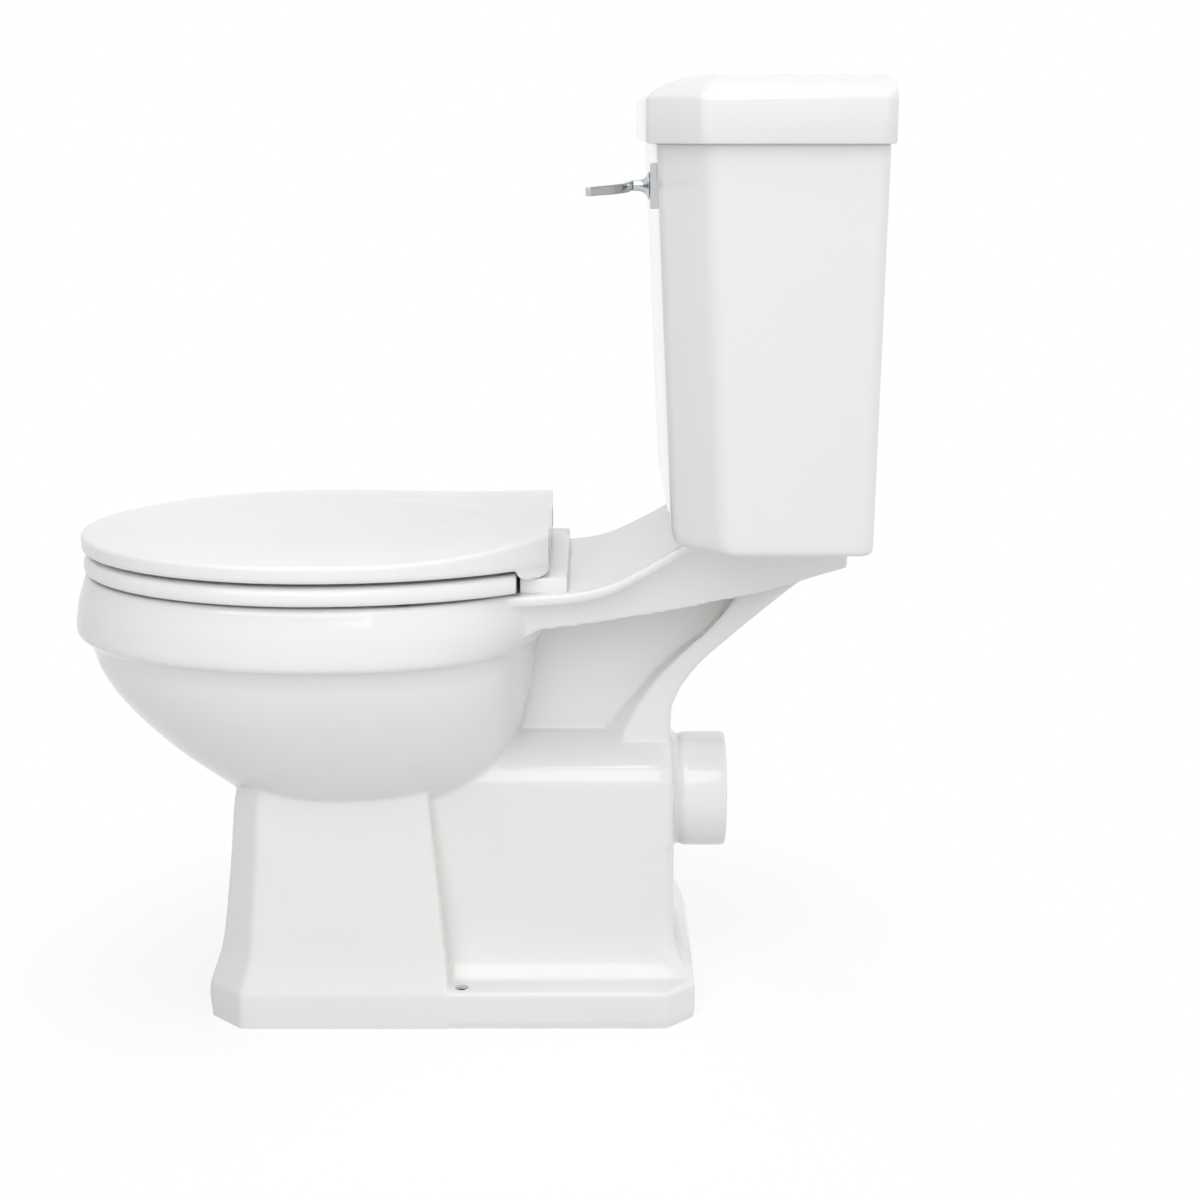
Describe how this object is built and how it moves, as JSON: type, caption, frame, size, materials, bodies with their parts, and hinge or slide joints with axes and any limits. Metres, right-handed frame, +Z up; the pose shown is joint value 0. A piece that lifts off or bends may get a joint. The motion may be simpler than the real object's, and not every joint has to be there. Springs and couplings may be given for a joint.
{
  "type": "close-coupled toilet",
  "caption": "Close-coupled ceramic toilet: pan with a flared rim and pedestal, cistern on its rear shelf, hinged seat and lid, side flush lever, siphon and fill valve inside.",
  "frame": {"origin": "on the floor, under the middle of the whole toilet", "axes": "+Z up, -Y to the bowl's front, +X to the side that carries the flush lever"},
  "size_m": [0.474, 0.675, 0.8],
  "materials": {
    "china": "glossy white glaze",
    "seat_resin": "glossy white moulded resin",
    "chrome": "polished chrome plate",
    "brass": "plain turned brass",
    "steel": "plain stainless steel",
    "rubber": "matt black rubber",
    "fitting_plastic": "moulded white plastic"
  },
  "bodies": {
    "base": {"pan_bowl": "china", "pan_trapway": "china", "pan_foot": "china", "pan_shelf": "china", "outlet_spigot": "china", "cistern_tank": "china", "hinge_plate": "seat_resin", "seat_bolts": "steel", "seat_bolt_washers": "rubber", "seat_wing_nuts": "fitting_plastic", "coupling_bolts": "brass", "coupling_bolt_seals": "rubber", "coupling_washers": "steel", "coupling_wing_nuts": "brass", "coupling_seal": "rubber", "siphon_body": "fitting_plastic", "siphon_washer": "rubber", "siphon_back_nut": "fitting_plastic", "lever_escutcheon": "chrome", "lever_bush": "brass", "lever_washer": "rubber", "lever_back_nut": "fitting_plastic", "fill_valve_stem": "brass", "fill_valve_head": "fitting_plastic", "fill_valve_washer": "rubber", "fill_valve_back_nut": "fitting_plastic", "float_pivot_pin": "steel"},
    "cover": {"cistern_lid": "china"},
    "seat_lid": {"seat_lid": "seat_resin", "hinge_pins": "steel", "lid_buffers": "rubber"},
    "seat_ring": {"seat_ring": "seat_resin", "ring_buffers": "rubber"},
    "lever": {"flush_lever": "chrome", "trip_arm": "brass", "trip_arm_screw": "steel"},
    "lift": {"lift_rod": "brass", "lift_link": "brass", "siphon_plunger": "fitting_plastic", "siphon_diaphragm": "rubber"},
    "float": {"float_arm": "fitting_plastic", "float_stud": "brass", "float": "fitting_plastic"}
  },
  "joints": [
    {"name": "seat_lid_hinge", "type": "hinge", "parent": "base", "child": "seat_lid", "pos_m": [0, 0.066, 0.413], "axis": [-1, 0, 0], "range_deg": [0, 96]},
    {"name": "seat_ring_hinge", "type": "hinge", "parent": "base", "child": "seat_ring", "pos_m": [0, 0.066, 0.413], "axis": [-1, 0, 0], "range_deg": [0, 92.5]},
    {"name": "flush_lever_turn", "type": "hinge", "parent": "base", "child": "lever", "pos_m": [0.155, 0.16, 0.717], "axis": [0, 1, 0], "range_deg": [0, 30]},
    {"name": "lift_rod_slide", "type": "slide", "parent": "base", "child": "lift", "axis": [0, 0, 1], "range_m": [0, 0.0435]},
    {"name": "float_arm_hinge", "type": "hinge", "parent": "base", "child": "float", "pos_m": [-0.134, 0.254, 0.676], "axis": [0, -1, 0], "range_deg": [0, 22]},
    {"name": "cistern_lid_lift", "type": "slide", "parent": "base", "child": "cover", "axis": [0, 0, 1], "range_m": [0, 0.1]}
  ],
  "couplings": [
    {"joint": "seat_ring_hinge", "follows": "seat_lid_hinge", "ratio": 0.96},
    {"joint": "lift_rod_slide", "follows": "flush_lever_turn", "m_per_rad": 0.08205}
  ]
}
